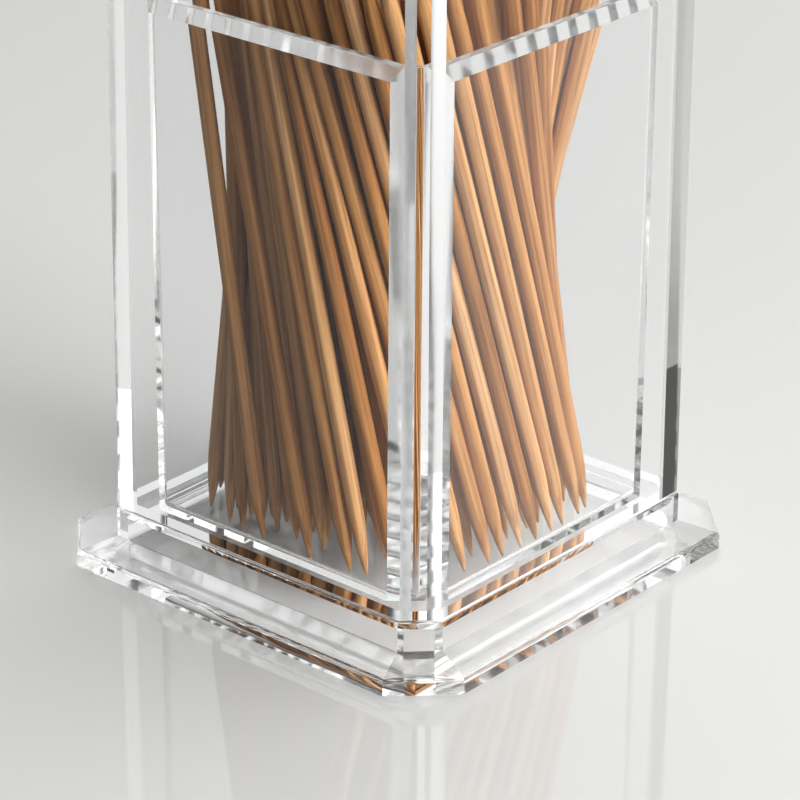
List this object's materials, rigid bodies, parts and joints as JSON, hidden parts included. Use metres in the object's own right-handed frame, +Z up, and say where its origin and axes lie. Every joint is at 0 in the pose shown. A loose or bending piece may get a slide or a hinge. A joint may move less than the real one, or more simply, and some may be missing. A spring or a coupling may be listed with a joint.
{
  "type": "toothpick box",
  "caption": "Clear acrylic square toothpick box: a stepped foot, an inner cup holding a twisted bundle of bamboo toothpicks, and a lift-off dust cover with a ball knob.",
  "frame": {"origin": "middle of the foot's underside", "axes": "+Z up, X and Y square to the four faces of the cover"},
  "size_m": [0.052, 0.052, 0.0966],
  "materials": {
    "acrylic": "clear polished acrylic",
    "bamboo": "raw turned bamboo with fine lengthwise grain"
  },
  "bodies": {
    "base": {"base_cup": "acrylic", "outer_pick_01": "bamboo", "outer_pick_02": "bamboo", "outer_pick_03": "bamboo", "outer_pick_04": "bamboo", "outer_pick_05": "bamboo", "outer_pick_06": "bamboo", "outer_pick_07": "bamboo", "outer_pick_08": "bamboo", "outer_pick_09": "bamboo", "outer_pick_10": "bamboo", "outer_pick_11": "bamboo", "outer_pick_12": "bamboo", "outer_pick_13": "bamboo", "outer_pick_14": "bamboo", "outer_pick_15": "bamboo", "outer_pick_16": "bamboo", "outer_pick_17": "bamboo", "outer_pick_18": "bamboo", "outer_pick_19": "bamboo", "outer_pick_20": "bamboo", "outer_pick_21": "bamboo", "outer_pick_22": "bamboo", "outer_pick_23": "bamboo", "outer_pick_24": "bamboo", "outer_pick_25": "bamboo", "outer_pick_26": "bamboo", "outer_pick_27": "bamboo", "outer_pick_28": "bamboo", "outer_pick_29": "bamboo", "outer_pick_30": "bamboo", "outer_pick_31": "bamboo", "outer_pick_32": "bamboo", "outer_pick_33": "bamboo", "picks_ring_0": "bamboo", "picks_ring_1": "bamboo", "picks_ring_2": "bamboo", "picks_ring_3": "bamboo", "picks_ring_4": "bamboo", "picks_ring_5": "bamboo", "picks_ring_6": "bamboo"},
    "cover": {"dust_cover": "acrylic", "cover_knob": "acrylic"}
  },
  "joints": [
    {"name": "cover_lift", "type": "slide", "parent": "base", "child": "cover", "axis": [0, 0, 1], "range_m": [0, 0.075]}
  ]
}
